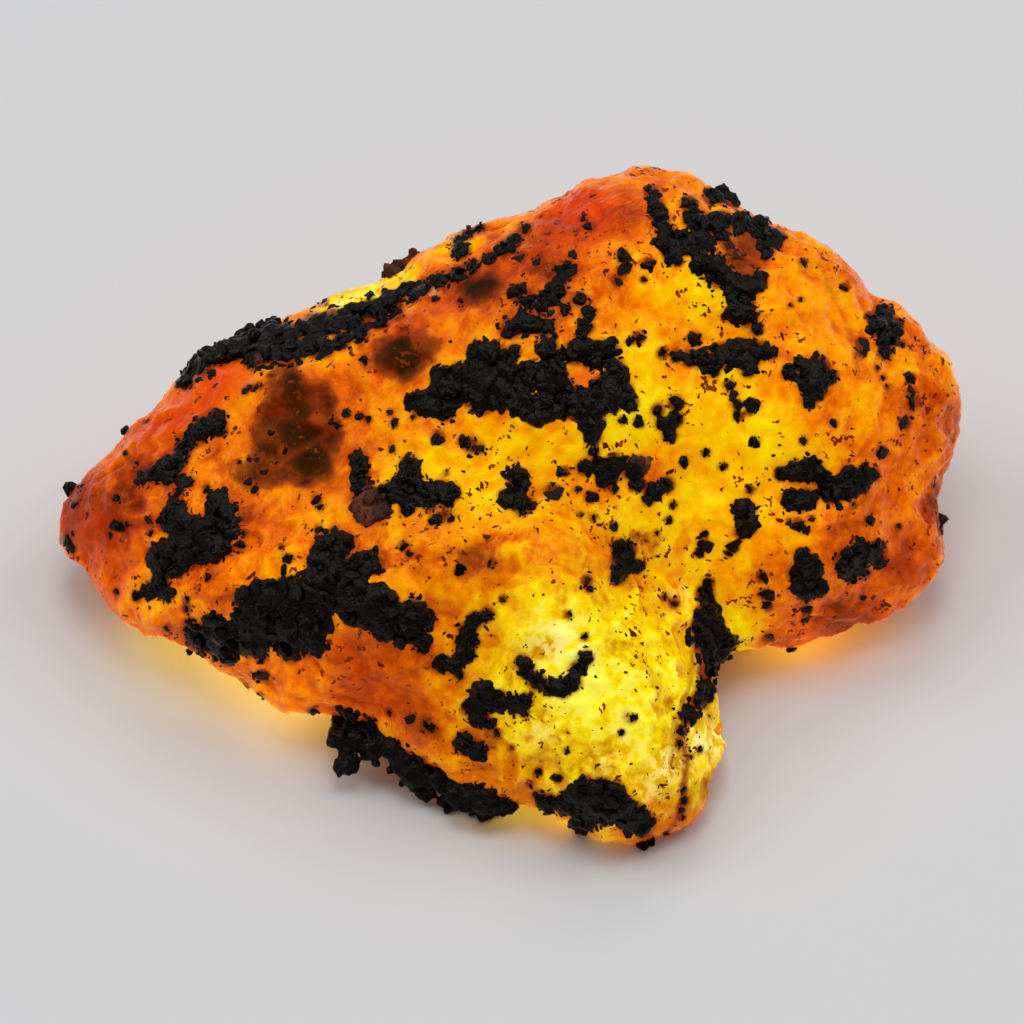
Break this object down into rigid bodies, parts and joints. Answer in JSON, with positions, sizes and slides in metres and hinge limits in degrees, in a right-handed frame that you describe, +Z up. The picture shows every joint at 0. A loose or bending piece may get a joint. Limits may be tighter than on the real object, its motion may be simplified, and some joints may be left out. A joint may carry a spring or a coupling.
{
  "type": "rough sapphire",
  "caption": "Rough yellow-orange gemstone, a clear three-lobed lump partly covered by patches of black granular crust, lying on its broad side.",
  "frame": {"origin": "bottom centre of the object's box, on the surface that it lies on", "axes": "+X along the length towards the right lobe, +Y towards the back, +Z up; the broad front face looks towards -Y and up"},
  "size_m": [0.048, 0.0372, 0.0199],
  "materials": {
    "sapphire_yellow": "gloss, clear yellow-orange",
    "crust_black": "dark granular mineral crust with a faint sheen"
  },
  "bodies": {
    "root": {"sapphire": "sapphire_yellow", "crust_ridge": "crust_black", "crust_far_edge": "crust_black", "crust_centre": "crust_black", "crust_centre_arm": "crust_black", "crust_centre_step": "crust_black", "crust_centre_post": "crust_black", "crust_peak": "crust_black", "crust_peak_lump": "crust_black", "crust_collar": "crust_black", "crust_shoulder": "crust_black", "crust_right_rim": "crust_black", "crust_tuft": "crust_black", "crust_wing": "crust_black", "crust_wing_oval": "crust_black", "crust_wing_low": "crust_black", "crust_wing_twin": "crust_black", "crust_slab": "crust_black", "crust_belt": "crust_black", "crust_twin": "crust_black", "crust_star": "crust_black", "crust_heart": "crust_black", "crust_heart_small": "crust_black", "crust_brow": "crust_black", "crust_cheek": "crust_black", "crust_belly": "crust_black", "crust_keel": "crust_black", "crust_cup": "crust_black", "crust_fold": "crust_black", "crust_fold_low": "crust_black", "crust_knot": "crust_black", "crust_seam": "crust_black", "crust_toe": "crust_black", "crust_back_crown": "crust_black", "crust_back_nape": "crust_black", "crust_back_shoulder": "crust_black", "crust_back_rim": "crust_black", "crust_back_flank": "crust_black", "crust_back_nose": "crust_black", "crust_back_spot": "crust_black"}
  },
  "joints": []
}
